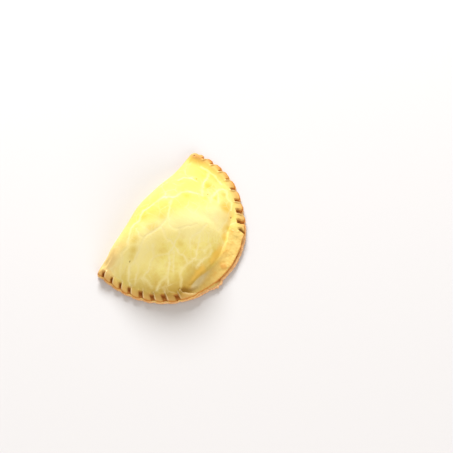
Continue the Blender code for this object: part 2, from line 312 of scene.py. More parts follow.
def cagePoint(angle, row):
    opened = float(stretch(angle % 360.0, *form["openStretch"]))
    widened = float(stretch(angle % 360.0, *form["wideBand"]))
    share = foldShare(angle)
    inset, height, openInset, openHeight = rimRows[row]
    inset += (openInset - inset) * (widened if row < 4 else opened)
    height += (openHeight - height) * opened
    foldInset, foldHeight = foldRow(row)
    place = outlinePoint(angle) + inward(angle) * (inset + (foldInset - inset) * share)
    bodyHeight = float(domeHeight(np.float64(place.x), np.float64(place.y)))
    if row == 0:
        height = bodyHeight
    elif row < gapRow:
        height += form["cornerLift"] * float(cornerShare(angle)) * min(1.0, (gapRow - row) / (gapRow - 3))
        height += (bodyHeight - height) * share ** 0.35    # the body closes over the rim's end early
    else:
        height += (foldHeight - height) * share
    middle = form["discMiddle"]
    return Vector(((place.x + middle[0]) * mm, (place.y + middle[1]) * mm, height * mm))


def placeSelectedRow(crust, angles, row):
    bm = bmesh.from_edit_mesh(crust.data)
    column = bm.verts.layers.int["column"]
    rowLayer = bm.verts.layers.float["row"]
    for vert in bm.verts:
        if vert.select:
            vert.co = cagePoint(angles[vert[column]], row)
            vert[rowLayer] = row
    bmesh.update_edit_mesh(crust.data)


# select edges by a test, with everything else let go
def selectEdges(crust, wanted):
    bpy.ops.mesh.select_mode(type="EDGE")
    bpy.ops.mesh.select_all(action="DESELECT")
    bm = bmesh.from_edit_mesh(crust.data)
    for edge in bm.edges:
        edge.select = wanted(edge)
    bm.select_flush_mode()
    bmesh.update_edit_mesh(crust.data)


def makeCage():
    angles = columnAngles()
    count = len(angles)
    bpy.ops.object.select_all(action="DESELECT")
    bpy.ops.mesh.primitive_circle_add(vertices=count, radius=form["discRadius"] * mm, location=(0, 0, 0))
    crust = bpy.context.object
    crust.name = crust.data.name = "bakedCrust"
    crust.data.attributes.new("column", "INT", "POINT").data.foreach_set("value", list(range(count)))
    crust.data.attributes.new("row", "FLOAT", "POINT")
    bpy.ops.object.mode_set(mode="EDIT")
    bpy.ops.mesh.select_all(action="SELECT")
    placeSelectedRow(crust, angles, 0)

    # fill the ring with a grid between its front run and its fold run
    steps = cage["frontColumns"]
    side = (count - 2 * steps) // 2
    column = bmesh.from_edit_mesh(crust.data).verts.layers.int["column"]

    def onFrontOrFold(edge):
        first, second = sorted(vert[column] for vert in edge.verts)
        start = second if (first, second) == (0, count - 1) else first
        return side <= start < side + steps or start >= count - steps

    selectEdges(crust, onFrontOrFold)
    bpy.ops.mesh.fill_grid()

    # even the grid out in plan, then lift it into the body
    selectEdges(crust, lambda edge: not any(vert.is_boundary for vert in edge.verts))
    bpy.ops.mesh.select_mode(type="VERT")
    bpy.ops.mesh.vertices_smooth(factor=0.5, repeat=cage["evening"], zaxis=False)
    bm = bmesh.from_edit_mesh(crust.data)
    middle = form["discMiddle"]
    rowLayer = bm.verts.layers.float["row"]
    for vert in bm.verts:
        if not vert.is_boundary:
            x, y = vert.co.x / mm - middle[0], vert.co.y / mm - middle[1]
            vert.co.z = float(domeHeight(np.float64(x), np.float64(y))) * mm
            vert[rowLayer] = 0.0

    # the band, the two layers' edges and the underside's border
    selectEdges(crust, lambda edge: edge.is_boundary)
    for row in range(1, len(rimRows)):
        bpy.ops.mesh.extrude_region_move(TRANSFORM_OT_translate={"value": (0, 0, 0)})
        placeSelectedRow(crust, angles, row)

    # ease the roll at both ends of the fold and the slope on the right
    for left, right, front, back, lastRow, rounds in cage["eased"]:
        bpy.ops.mesh.select_mode(type="VERT")
        bpy.ops.mesh.select_all(action="DESELECT")
        bm = bmesh.from_edit_mesh(crust.data)
        rowLayer = bm.verts.layers.float["row"]
        for vert in bm.verts:
            x, y = vert.co.x / mm - middle[0], vert.co.y / mm - middle[1]
            vert.select = vert[rowLayer] <= lastRow and left < x < right and front < y < back
        bm.select_flush_mode()
        bmesh.update_edit_mesh(crust.data)
        bpy.ops.mesh.vertices_smooth(factor=0.5, repeat=rounds, xaxis=False, yaxis=False)
    bpy.ops.object.mode_set(mode="OBJECT")
    smooth = crust.modifiers.new("soften", "SUBSURF")
    smooth.levels = smooth.render_levels = cage["subdivisions"]
    bpy.ops.object.modifier_apply(modifier=smooth.name)

    # close the flat underside
    bpy.ops.object.mode_set(mode="EDIT")
    selectEdges(crust, lambda edge: edge.is_boundary)
    bpy.ops.mesh.edge_face_add()
    bpy.ops.mesh.select_all(action="SELECT")
    bpy.ops.mesh.normals_make_consistent(inside=False)
    bpy.ops.object.mode_set(mode="OBJECT")
    bpy.ops.object.shade_smooth()
    return crust


crust = makeCage()
print("cage softened:", len(crust.data.vertices), "points")


# fine shape: every point is moved by what happened to the dough at its place; a path or a spot on the rim
# is given as angle and radius
surface = {
    "slitPath": [(295.4, 57.6), (294.0, 59.8), (292.2, 62.2), (291.0, 64.0), (290.2, 66.0)],
    "slitHalfWidth": (1.35, 0.40),         # at its inner and its outer end
    "slitFloor": 2.6,
    "flapCorner": (288.6, 62.0, 3.2, 0.8),  # angle, radius, spread, lift
    "lipPath": [(226.0, 59.4), (227.6, 62.2), (230.4, 64.2), (233.6, 65.4), (238.0, 66.2)],
    "lipHalfWidth": 0.95,
    "lipHeight": 2.0,
    "hollowPath": [(228.6, 59.6), (231.2, 60.6), (234.4, 60.8), (237.6, 60.2)],
    "hollowHalfWidth": 2.3,
    "hollowFloor": 2.7,
    "flakePoints": [(247.6, 1.2, 2.2), (249.8, 2.2, 1.7), (252.6, 1.9, 2.0)],   # angle, reach, half width
    "cornerKnob": (10.4, 59.5, 7.5, 4.6, 1.1),    # angle, radius, spread along and across, lift
    # kinds of unevenness: size in millimetres, and a shift that gives each its own pattern
    "ripples": {
        "coarse": (5.0, 3.3), "fine": (1.6, 7.1), "lumps": (24.0, 1.9), "dimples": (7.5, 5.7),
        "swayX": (3.0, 6.3), "swayY": (3.0, 9.4), "fineSwayY": (1.6, 2.2), "gaps": (9.0, 8.8),
    },
    "layerWander": 0.50,                   # unevenness of the layers' edges
    "bodyWander": 0.5,                     # slow unevenness of the body
    "bodyDimples": 0.15,
    "crackDepth": 0.13,
    "crackHalfWidth": 0.6,
    "pinholes": [(-46.5, -2.5), (30.5, -19.5), (28.5, -41.5), (37.5, -4.5), (58.5, 12)],
    "pinholeRadius": 0.55,
    "pinholeDepth": 0.6,
    "blister": (262.0, 59.7, 2.6, 0.4),    # angle, radius, spread, lift
    "bandWander": 0.34,                    # unevenness of the flat band
    # stretches of the rim: from, to and fade
    "gapOpen": (249.0, 291.0, 5.0),        # where the two layers stand apart
    "flatBand": (229.0, 299.0, 7.0),
    "creaseLine": (226.0, 312.0, 8.0),
    "rightRim": (112.0, 200.0, 9.0),       # counted on from 180 degrees
    "paintedShadeFoot": (224.0, 42.0),             # where painted shade at the foot of the body is strongest: angle, spread
    "leftCorner": -58.0,
    # a painted highlight: the palest line over the body, where light falls along its shoulder
    "paintedShoulderHighlight": [(-23.5, -5.5), (-11.5, -15), (-1.5, -25.5), (16.5, -34.5), (29.5, -38.5)],
    "dryPatch": (-27.5, -49.0, 11.0, 4.0),   # on the band: x, y, half length and half breadth
}

# main cracks of the egg wash in plan: extra half width, then the route, in millimetres about the disc's
# middle like all the places below
crackRoutes = [
    (0.21, [(5, 1), (1, 3.5), (-3.5, 5), (-7.5, 6.5), (-12, 9), (-14.5, 9), (-18, 7.5), (-20.5, 7),
            (-23.5, 9), (-27, 9.5), (-30, 8), (-34, 7), (-37.5, 5), (-40, 4), (-42.5, 5), (-45, 5.5),
            (-47, 4), (-49.5, 5), (-53, 6.5), (-56, 8.5)]),
    (0, [(-47, 4), (-50.5, 2.5), (-54, 1.5), (-58, -2), (-61, -6.5)]),
    (0.18, [(-16.5, -10), (-19, -9), (-22.5, -8), (-26, -5.5), (-29, -4), (-32.5, -4.5), (-36, -5),
            (-39, -5.5), (-42.5, -5), (-45.5, -6), (-48.5, -4), (-50.5, -4.5), (-53.5, -6), (-56, -7),
            (-58.5, -10.5)]),
    (-0.06, [(-30, -4), (-29.5, -0.5), (-27.5, 3), (-26, 5.5)]),
    (0.06, [(-16.5, -10), (-17.5, -13), (-20.5, -16.5), (-21.5, -20), (-21, -22.5), (-22.5, -25.5)]),
    (0, [(-16.5, -10), (-11.5, -11), (-7.5, -10.5), (-3, -8.5), (1, -6.5), (4.5, -5)]),
    (0, [(-8, -11), (-12.5, -15.5), (-13, -18.5), (-10, -22.5), (-6, -25), (-3, -27.5), (1, -30)]),
    (0.09, [(-22.5, -25.5), (-18, -24.5), (-14, -24.5), (-10, -22.5)]),
    (0.09, [(-22.5, -25.5), (-25, -25.5), (-28, -25), (-31, -27), (-34, -29), (-37, -30), (-40, -31),
            (-43, -29.5), (-45.5, -28.5), (-48.5, -28.5), (-51, -29)]),
    (-0.03, [(-28.5, -25.5), (-31, -22.5), (-33.5, -19), (-36.5, -17)]),
    (-0.06, [(-40, -31), (-41.5, -32.5), (-43.5, -34)]),
    (-0.12, [(-25.5, -27), (-27.5, -29), (-30.5, -30), (-32.5, -32), (-35.5, -33)]),
    (0.09, [(-22.5, -25.5), (-23, -28.5), (-24, -31), (-22.5, -33.5), (-23, -36), (-24.5, -38.5),
            (-27, -38), (-30.5, -37.5), (-33.5, -37.5), (-35.5, -40), (-39, -42)]),
    (-0.03, [(-24.5, -38.5), (-20.5, -39.5), (-17, -40), (-13, -39), (-8.5, -37.5), (-4, -36)]),
    (-0.06, [(-21.5, -43.5), (-17, -44), (-13, -45), (-8.5, -46.5), (-4, -46)]),
    (-0.06, [(-9.5, -43), (-6, -43), (-2.5, -43.5)]),
    (0.03, [(7.5, -34), (3, -34), (-1.5, -34), (-7.5, -32), (-11.5, -32), (-15.5, -35)]),
    (0.06, [(-30, -12.5), (-33.5, -15), (-36.5, -17), (-39.5, -16), (-44, -17.5), (-49.5, -16),
            (-50, -20), (-51, -24)]),
    (-0.06, [(-44.5, -6.5), (-45.5, -9.5), (-48, -11), (-51, -11), (-56, -13)]),
    (0.03, [(-56, 8.5), (-58.5, 3), (-58, -1)]),
    (0.12, [(53, 2), (53.5, -1.5), (53, -5.5), (46, -8.5), (38, -10.5), (31, -14), (26, -17.5)]),
    (-0.03, [(26, -17.5), (23.5, -13.5), (20, -8.5), (15.5, -6), (9, -5.5), (5, 1)]),
    (0.15, [(26, -25), (28.5, -23), (32.5, -22.5), (41, -21), (45, -22), (46.5, -25.5), (41, -30)]),
    (-0.06, [(39, -23), (31, -28.5)]),
    (0, [(35.5, -6), (35.5, -0.5), (32, 4), (27, 4.5)]),
    (-0.06, [(24.5, -40.5), (18.5, -40.5), (11.5, -41)]),
    (-0.03, [(53, -5.5), (53, -11), (49, -19)]),
    (-0.09, [(41, -30), (40, -34.5), (34, -38)]),
]

# places where the wash has pooled and baked deeper: x, y, half width, strength
washPools = [
    (38.5, -14.5, 4.7, 0.9), (15.5, -10.5, 3.4, 0.7), (25.5, -20.5, 2.5, 0.6), (32.5, -24.5, 2.5, 0.6),
    (41.5, -26.5, 2.2, 0.7), (32.5, -34.5, 4.7, 1), (38.5, -3.5, 1.7, 0.6), (45.5, -5.5, 2.2, 0.7),
    (26.5, 2.5, 2.5, 0.6), (4.5, -14.5, 2.5, 0.4), (-15.5, 6.5, 3.4, 0.8), (-9.5, -6.5, 3.8, 0.6),
    (-20.5, -5.5, 5.1, 0.6), (-33.5, 1.5, 3.4, 0.6), (-39.5, -1.5, 3.8, 0.7), (-43.5, -2.5, 3.4, 0.6),
    (-18.5, -28.5, 3.4, 0.4), (-11.5, -35.5, 3.4, 0.35), (-17.5, -37.5, 3.4, 0.35),
    (-35.5, -37.5, 3.4, 0.5), (-44.5, -31.5, 2.5, 0.6), (6.5, -34.5, 2.5, 0.35), (-3.5, -49.5, 3.4, 1),
    (-10.5, -49.5, 2.5, 0.6), (-21.5, -46.5, 4.2, 1), (-27.5, -45.5, 2.5, 0.6), (20.5, -45.5, 3.4, 1),
    (11.5, -48.5, 2.5, 0.7), (-24, -36, 7, 0.5), (-32, -33, 5, 0.4),
]

# and painted highlights: pale spots that stand for light on the body, with the same columns
paintedHighlightSpots = [
    (-37.5, -4.5, 13, 1), (-48.5, 5.5, 8, 0.8), (-38.5, -14.5, 8, 0.5), (-51.5, 10.5, 5, 0.7),
    (20, -36, 11, 1), (-3, -28, 11, 0.9),
]


def polarPoint(angle, radius):
    turn = math.radians(angle)
    return radius * math.cos(turn), radius * math.sin(turn)


def softSpot(x, y, spotX, spotY, size):
    return np.exp(-((x - spotX) ** 2 + (y - spotY) ** 2) / size ** 2)


# at each place the strongest of several soft spots
def strongestSpot(x, y, spots):
    strongest = np.zeros(x.shape)
    for spotX, spotY, size, strength in spots:
        strongest = np.maximum(strongest, strength * softSpot(x, y, spotX, spotY, size))
    return strongest


# distance from each place to a path, and how far along the path its nearest point lies, from 0 to 1
def distanceToPath(x, y, path):
    nearest = np.full(x.shape, 1e3)
    along = np.zeros(x.shape)
    runs = len(path) - 1
    for index in range(runs):
        (startX, startY), (endX, endY) = path[index], path[index + 1]
        runX, runY = endX - startX, endY - startY
        share = np.clip(((x - startX) * runX + (y - startY) * runY) / (runX ** 2 + runY ** 2), 0.0, 1.0)
        distance = np.hypot(x - startX - share * runX, y - startY - share * runY)
        along = np.where(distance < nearest, (index + share) / runs, along)
        nearest = np.minimum(nearest, distance)
    return nearest, along


def distanceToRimPath(dough, name):
    return distanceToPath(dough.x, dough.y, [polarPoint(*point) for point in surface[name]])


# smooth unevenness between -1 and 1
def wander(places, ripple):
    size, shift = surface["ripples"][ripple]
    offset = Vector((shift, 2.0 * shift, -shift))
    return np.array([noise.noise(Vector(place) / size + offset) for place in places])


# what the fork did: floors, the crisp edge that begins each ridge, with its painted highlight, its fall to
# the next mark, the dark spots that are browned and painted shade, and where the outline draws in
def forkPress(angle, inset, ripple):
    names = ("pressed", "raisedEdgeAndHighlight", "fall", "innerBrownAndShade", "outerBrownAndShade", "notch")
    trace = {name: np.zeros(angle.shape) for name in names}
    floor = forkMarks["floorHalfWidth"]
    crispPlace, crispHalf = forkMarks["crispEdge"]
    innerPlace, innerHalf = forkMarks["innerSpot"]
    outerPlace, outerHalf = forkMarks["outerSpot"]
    for side, (front, shift, spotBreadth) in forkMarks["sides"].items():
        marks = forkMarks[side]
        for index, (mark, breadth, reach, inner, outer) in enumerate(marks):
            vary = noise.noise(Vector((index * 1.7, front * 3.1, 0.4)))
            following = marks[min(index + 1, len(marks) - 1)]
            pitch = math.radians(abs(following[0] - mark)) * form["discRadius"] or forkMarks["lastPitch"]
            across = front * np.radians(turnFrom(angle, mark)) * form["discRadius"] + 0.3 * ripple
            across = across - (forkMarks["slant"] + 0.25 * vary) * (3.0 - inset)
            half = floor * breadth
            beyond = across - half
            length = pitch - half - floor * following[1]
            reach = reach + 0.4 * ripple

            steep = 1.0 - smoothStep(beyond / forkMarks["steepWall"])
            gentle = 1.0 - smoothStep((-across - half) / forkMarks["gentleWall"][side == "right"])
            along = 1.0 - smoothStep((inset - reach) / forkMarks["endRounding"])
            crisp = np.exp(-((beyond - crispPlace) / crispHalf) ** 2)
            rising = np.clip(beyond / length, 0.0, 1.0) ** 1.3
            onRidge = rising * (1.0 - smoothStep((beyond - length) / (2.0 * half)))
            # a ridge before a long mark on the right hardly falls
            level = 0.7 * (side == "right") * min(1.0, max(0.0, 0.5 * following[2] - 1.75))
            spot = np.exp(-(((across + shift * half) / (spotBreadth * half)) ** 2) ** 1.5)
            found = {
                "pressed": steep * gentle * along,
                "raisedEdgeAndHighlight": crisp * (1.0 - smoothStep((inset - reach - 0.5) / 3.5)),
                "fall": (1.0 - level) * onRidge * (1.0 - smoothStep((inset - reach + 1.0) / 3.5)),
                # browned and painted shade at the inner and the outer end of a mark
                "innerBrownAndShade": inner * spot * np.exp(-((inset - reach + innerPlace) / innerHalf) ** 2),
                "outerBrownAndShade": outer * spot * np.exp(-((inset - outerPlace) / outerHalf) ** 2),
                "notch": np.exp(-((across - 0.2) / (half + 0.9)) ** 2),
            }
            for name, value in found.items():
                trace[name] = np.maximum(trace[name], value)
    return trace


# the dough's points as arrays, in millimetres about the disc's middle
def readDough(mesh):
    count = len(mesh.vertices)
    flat = np.empty(count * 3)
    mesh.vertices.foreach_get("co", flat)
    places = flat.reshape(-1, 3) / mm
    places -= (*form["discMiddle"], 0.0)
    row = np.empty(count)
    mesh.attributes["row"].data.foreach_get("value", row)

    dough = SimpleNamespace(places=places, row=row)
    dough.x, dough.y, dough.z = places.T.copy()
    dough.angle = np.degrees(np.arctan2(dough.y, dough.x)) % 360.0
    dough.inset = outlineRadius(dough.angle) - np.hypot(dough.x, dough.y)
    dough.onFold = np.where(dough.y > 5.0, foldShareAt(dough.x), 0.0)
    dough.rim = 1.0 - dough.onFold
    dough.opened = stretch(dough.angle, *form["openStretch"])
    dough.upper = smoothStep((gapRow - row) / 0.8)     # one on the upper layer, zero below the gap
    dough.lower = smoothStep((row - gapRow) / 0.8) * smoothStep((len(rimRows) - 2 - row) / 1.5)
    dough.coarse = wander(places, "coarse")
    dough.fine = wander(places, "fine")
    return dough


# each step from here on shapes the dough and returns the traces that it leaves for the material: first
# the fork's marks and the ridges between them
def pressFork(dough):
    angle, inset, upper = dough.angle, dough.inset, dough.upper
    onRight = rightStretch(angle, *forkMarks["rightSide"])
    leftCrimp, rightCrimp = forkMarks["leftCrimp"], forkMarks["rightCrimp"]
    crimped = np.maximum(stretch(angle, *leftCrimp), rightStretch(angle, *rightCrimp)) * dough.rim
    found = forkPress(angle, np.maximum(inset, 0.0), dough.coarse)
    fork = {name: value * crimped for name, value in found.items()}
    fall, notch, bulge = [left + (right - left) * onRight
                          for left, right in (forkMarks[name] for name in ("fall", "notch", "bulge"))]
    nearRim = 1.0 - smoothStep((inset - 4.5) / 3.0)
    aboveGap = np.clip((dough.z - 2.7) / 2.0, 0.0, 1.0)
    lift = forkMarks["edgeLift"] * fork["raisedEdgeAndHighlight"] * nearRim - fall * fork["fall"]
    dough.z += lift * aboveGap * upper
    innerFloor, outerFloor = forkMarks["floorHeight"]
    floor = outerFloor + (innerFloor - outerFloor) * np.clip(inset / 6.0, 0.0, 1.0) + 0.2 * dough.fine
    pressed = dough.z + (np.minimum(floor, dough.z) - dough.z) * fork["pressed"] * upper
    dough.z = np.where(dough.row < gapRow, pressed, dough.z)

    # the outline draws in at a mark and swells beside it
    edge = 1.0 - smoothStep((inset - 0.4) / 3.2)
    scallop = bulge * (1.0 - fork["notch"]) - notch * fork["notch"]
    dough.outward = scallop * crimped * edge * (0.4 + 0.6 * upper)
    dough.unpressed = 1.0 - fork["pressed"]
    return {
        "pressed": fork["pressed"] * upper,
        "innerBrownAndShade": fork["innerBrownAndShade"] * upper,
        "outerBrownAndShade": fork["outerBrownAndShade"] * (0.3 + 0.7 * upper),
        "beadFall": fork["fall"] * (1.0 - smoothStep((inset - 2.0) / 5.0)) * upper * onRight,
        "toothFall": fork["fall"] * upper * (1.0 - onRight),
        "raisedEdgeAndHighlight": fork["raisedEdgeAndHighlight"] * upper * (1.0 - 0.5 * onRight),
    }


# the layers' ragged edges, and the flake of the lower layer in ragged points; here the outline moves out
def frayEdges(dough):
    row = dough.row
    atEdge = np.exp(-((row - gapRow + 2.0) / 1.6) ** 2) + np.exp(-((row - lowerEdgeRow) / 1.3) ** 2)
    ragged = surface["layerWander"] * (1.3 * dough.coarse + 1.2 * dough.fine)
    dough.outward += ragged * atEdge * dough.rim * (0.45 + 0.55 * dough.opened)
    flake = np.zeros(row.shape)
    for middle, reach, halfWidth in surface["flakePoints"]:
        point = np.clip(1.0 - np.abs(dough.angle - middle) / halfWidth, 0.0, 1.0) ** 0.6
        flake = np.maximum(flake, reach * point)
    dough.outward += flake * dough.lower
    dough.x += dough.outward * np.cos(np.radians(dough.angle))
    dough.y += dough.outward * np.sin(np.radians(dough.angle))
    swayedRow = row + 0.45 * dough.coarse + 0.35 * dough.fine
    return {
        "edgeRow": swayedRow * np.where(row < 10.5, 1.0 - dough.onFold, 1.0),
        "gapOpen": 0.25 + 0.75 * stretch(dough.angle, *surface["gapOpen"]),
    }


# the knob of dough at the right corner
def raiseKnob(dough):
    angle, radius, along, across, lift = surface["cornerKnob"]
    knob = np.exp(-turnFrom(dough.angle, angle) ** 2 / math.degrees(along / radius) ** 2)
    dough.z += lift * knob * np.exp(-((dough.inset - 4.0) / across) ** 2) * dough.upper
    return {"knob": knob * (1.0 - smoothStep((dough.inset - 4.5) / 4.5)) * dough.upper}


# the tear and the flap beside it
def tearSlit(dough):
    slit, along = distanceToRimPath(dough, "slitPath")
    wide, narrow = surface["slitHalfWidth"]
    half = wide + (narrow - wide) * along + 0.15 * dough.fine
    torn = (1.0 - smoothStep((slit - 0.35 * half) / (0.9 * half))) * dough.upper
    dough.z += (np.minimum(surface["slitFloor"], dough.z) - dough.z) * torn
    angle, radius, spread, lift = surface["flapCorner"]
    flap = softSpot(dough.x, dough.y, *polarPoint(angle, radius), spread)
    dough.z += lift * flap * dough.upper * (1.0 - torn)
    return {"torn": torn, "flap": flap * dough.upper}


# the pinched lip and the hollow behind it, with painted shade in the hollow
def pinchLip(dough):
    away, along = distanceToRimPath(dough, "lipPath")
    lip = np.exp(-(away / surface["lipHalfWidth"]) ** 2) * (1.0 - 0.6 * along ** 2)
    away, along = distanceToRimPath(dough, "hollowPath")
    shadedHollow = np.exp(-(away / surface["hollowHalfWidth"]) ** 2) * (1.0 - 0.7 * along) * dough.upper
    height = surface["lipHeight"] + 0.5 * dough.coarse + 0.7 * dough.fine
    dough.z += height * lip * dough.upper * (1.0 - 0.7 * shadedHollow)
    dough.z += (np.minimum(surface["hollowFloor"], dough.z) - dough.z) * smoothStep(1.25 * shadedHollow)
    return {"lip": lip * dough.upper, "shadedHollow": shadedHollow}


# the flat band: uneven, with a blister and a dry patch
def roughenBand(dough):
    angle, radius, spread, lift = surface["blister"]
    blisterX, blisterY = polarPoint(angle, radius)
    blister = np.exp(-(((dough.x - blisterX) ** 2 + (dough.y - blisterY) ** 2) / spread ** 2) ** 2)
    dough.z += lift * blister * dough.upper
    beforeCrease = 1.0 - smoothStep((dough.inset - creaseInset(dough.angle) + 2.5) / 2.0)
    band = stretch(dough.angle, *surface["flatBand"]) * beforeCrease * dough.upper
    dough.z += surface["bandWander"] * (dough.coarse + 0.6 * dough.fine) * band
    patchX, patchY, patchLength, patchBreadth = surface["dryPatch"]
    across = dough.y - patchY - 0.1 * (patchX - dough.x)
    dry = np.exp(-((dough.x - patchX) / patchLength) ** 2 - (across / patchBreadth) ** 2)
    return {"blister": blister * dough.upper, "band": band, "dry": dry * band}


# slow lumps of the filling under the crust, shallow dimples, cracks and pinholes
def crackSkin(dough):
    x, y, places = dough.x, dough.y, dough.places
    body = smoothStep((dough.inset - 5.0) / 9.0) * dough.upper
    lumps, dimples = wander(places, "lumps"), wander(places, "dimples")
    dough.z += (surface["bodyWander"] * lumps + surface["bodyDimples"] * dimples) * body
    swayX = x + 0.5 * wander(places, "swayX") + 0.5 * dough.fine
    swayY = y + 0.5 * wander(places, "swayY") + 0.5 * wander(places, "fineSwayY")
    drawn = np.full(x.shape, 1e3)
    for breadth, route in crackRoutes:
        drawn = np.minimum(drawn, distanceToPath(swayX, swayY, route)[0] - breadth)
    drawn = np.maximum(drawn, 0.0)
    skinned = smoothStep((dough.inset - 4.0) / 3.0) * dough.upper * dough.unpressed
    skinned = skinned * (1.0 - dough.opened * (dough.inset < 14.0))
    dough.z -= surface["crackDepth"] * np.exp(-(drawn / surface["crackHalfWidth"]) ** 2) * skinned
    pin = strongestSpot(x, y, [(*place, surface["pinholeRadius"], 1.0) for place in surface["pinholes"]])
    dough.z -= surface["pinholeDepth"] * pin * dough.upper
    return {
        "drawnCrack": np.minimum(drawn, 5.0) + 5.0 * (1.0 - skinned),
        "skinned": skinned,
        # masks for the painted highlight along the shoulder, for the pooled wash and for the painted
        # highlight spots
        "paintedShoulderHighlight": np.exp(-(distanceToPath(x, y, surface["paintedShoulderHighlight"])[0] / 9.0) ** 2) * body,
        "pool": strongestSpot(x, y, washPools) * skinned,
        "paintedHighlight": strongestSpot(x, y, paintedHighlightSpots) * skinned,
        "pinhole": pin,
    }


def placesInFrame(dough):
    middleX, middleY = form["discMiddle"]
    return np.stack([dough.x + middleX, dough.y + middleY, np.maximum(dough.z, 0.0)], 1)


# where the heat has coloured it: the rim, the crease and the fold; and painted shade at the foot of the body
# and on the back
def bakeColours(dough):
    x, y, angle, inset, upper = dough.x, dough.y, dough.angle, dough.inset, dough.upper
    fromCrease = inset - creaseInset(angle)
    broken = 0.35 + 0.65 * smoothStep(0.7 + 1.6 * wander(placesInFrame(dough), "gaps"))
    creased = stretch(angle, *surface["creaseLine"]) * broken
    onRightRim = np.exp(-((inset - 6.0) / np.where(inset > 6.0, 13.0, 5.5)) ** 2)
    atFoot = np.exp(-(np.maximum(fromCrease, 0.0) / 9.0) ** 2) * dough.rim
    fromCorner = x - surface["leftCorner"]
    return {
        "browning": (1.0 - smoothStep((inset + 0.8 * dough.coarse) / 9.0)) * dough.rim * upper,
        "rightRim": onRightRim * rightStretch(angle, *surface["rightRim"]) * upper,
        # painted shade at the foot of the body
        "foot": atFoot * upper * bell(angle, *surface["paintedShadeFoot"]),
        "crease": np.exp(-((fromCrease - 1.2 + 0.9 * dough.coarse) / 2.4) ** 2) * creased * upper,
        "onFold": dough.onFold * (1.0 - smoothStep((inset - 2.0) / 16.0)),
        "leftFold": np.exp(-(fromCorner / 27.0) ** 2) * smoothStep((y + 1.0) / 14.0) * upper,
        # painted shade: the crust is painted deeper towards the back, less so near the left corner
        "back": smoothStep((y + 27.5) / 26.0) * (1.0 - 0.9 * np.exp(-(fromCorner / 26.0) ** 2)),
    }


def shapeCrust(crust):
    mesh = crust.data
    dough = readDough(mesh)
    traces = {}
    for step in (pressFork, frayEdges, raiseKnob, tearSlit, pinchLip, roughenBand, crackSkin, bakeColours):
        traces.update(step(dough))
    mesh.vertices.foreach_set("co", (placesInFrame(dough) * mm).ravel())
    for name, values in traces.items():
        mesh.attributes.new(name, "FLOAT", "POINT").data.foreach_set("value", values.astype(np.float32))
    mesh.update()
    return list(traces)


traceNames = shapeCrust(crust)
print("crust shaped")


def toLinear(hexColour):
    values = [int(hexColour[place:place + 2], 16) / 255.0 for place in (1, 3, 5)]
    return [value / 12.92 if value <= 0.04045 else ((value + 0.055) / 1.055) ** 2.4 for value in values]


# adds a node, sets its inputs and properties, and links sockets to its inputs
def addNode(tree, kind, settings=None, links=None):
    node = tree.nodes.new(kind)
    for name, value in (settings or {}).items():
        if isinstance(name, int) or name in node.inputs:
            node.inputs[name].default_value = value
        else:
            setattr(node, name, value)
    for name, socket in (links or {}).items():
        tree.links.new(socket, node.inputs[name])
    return node
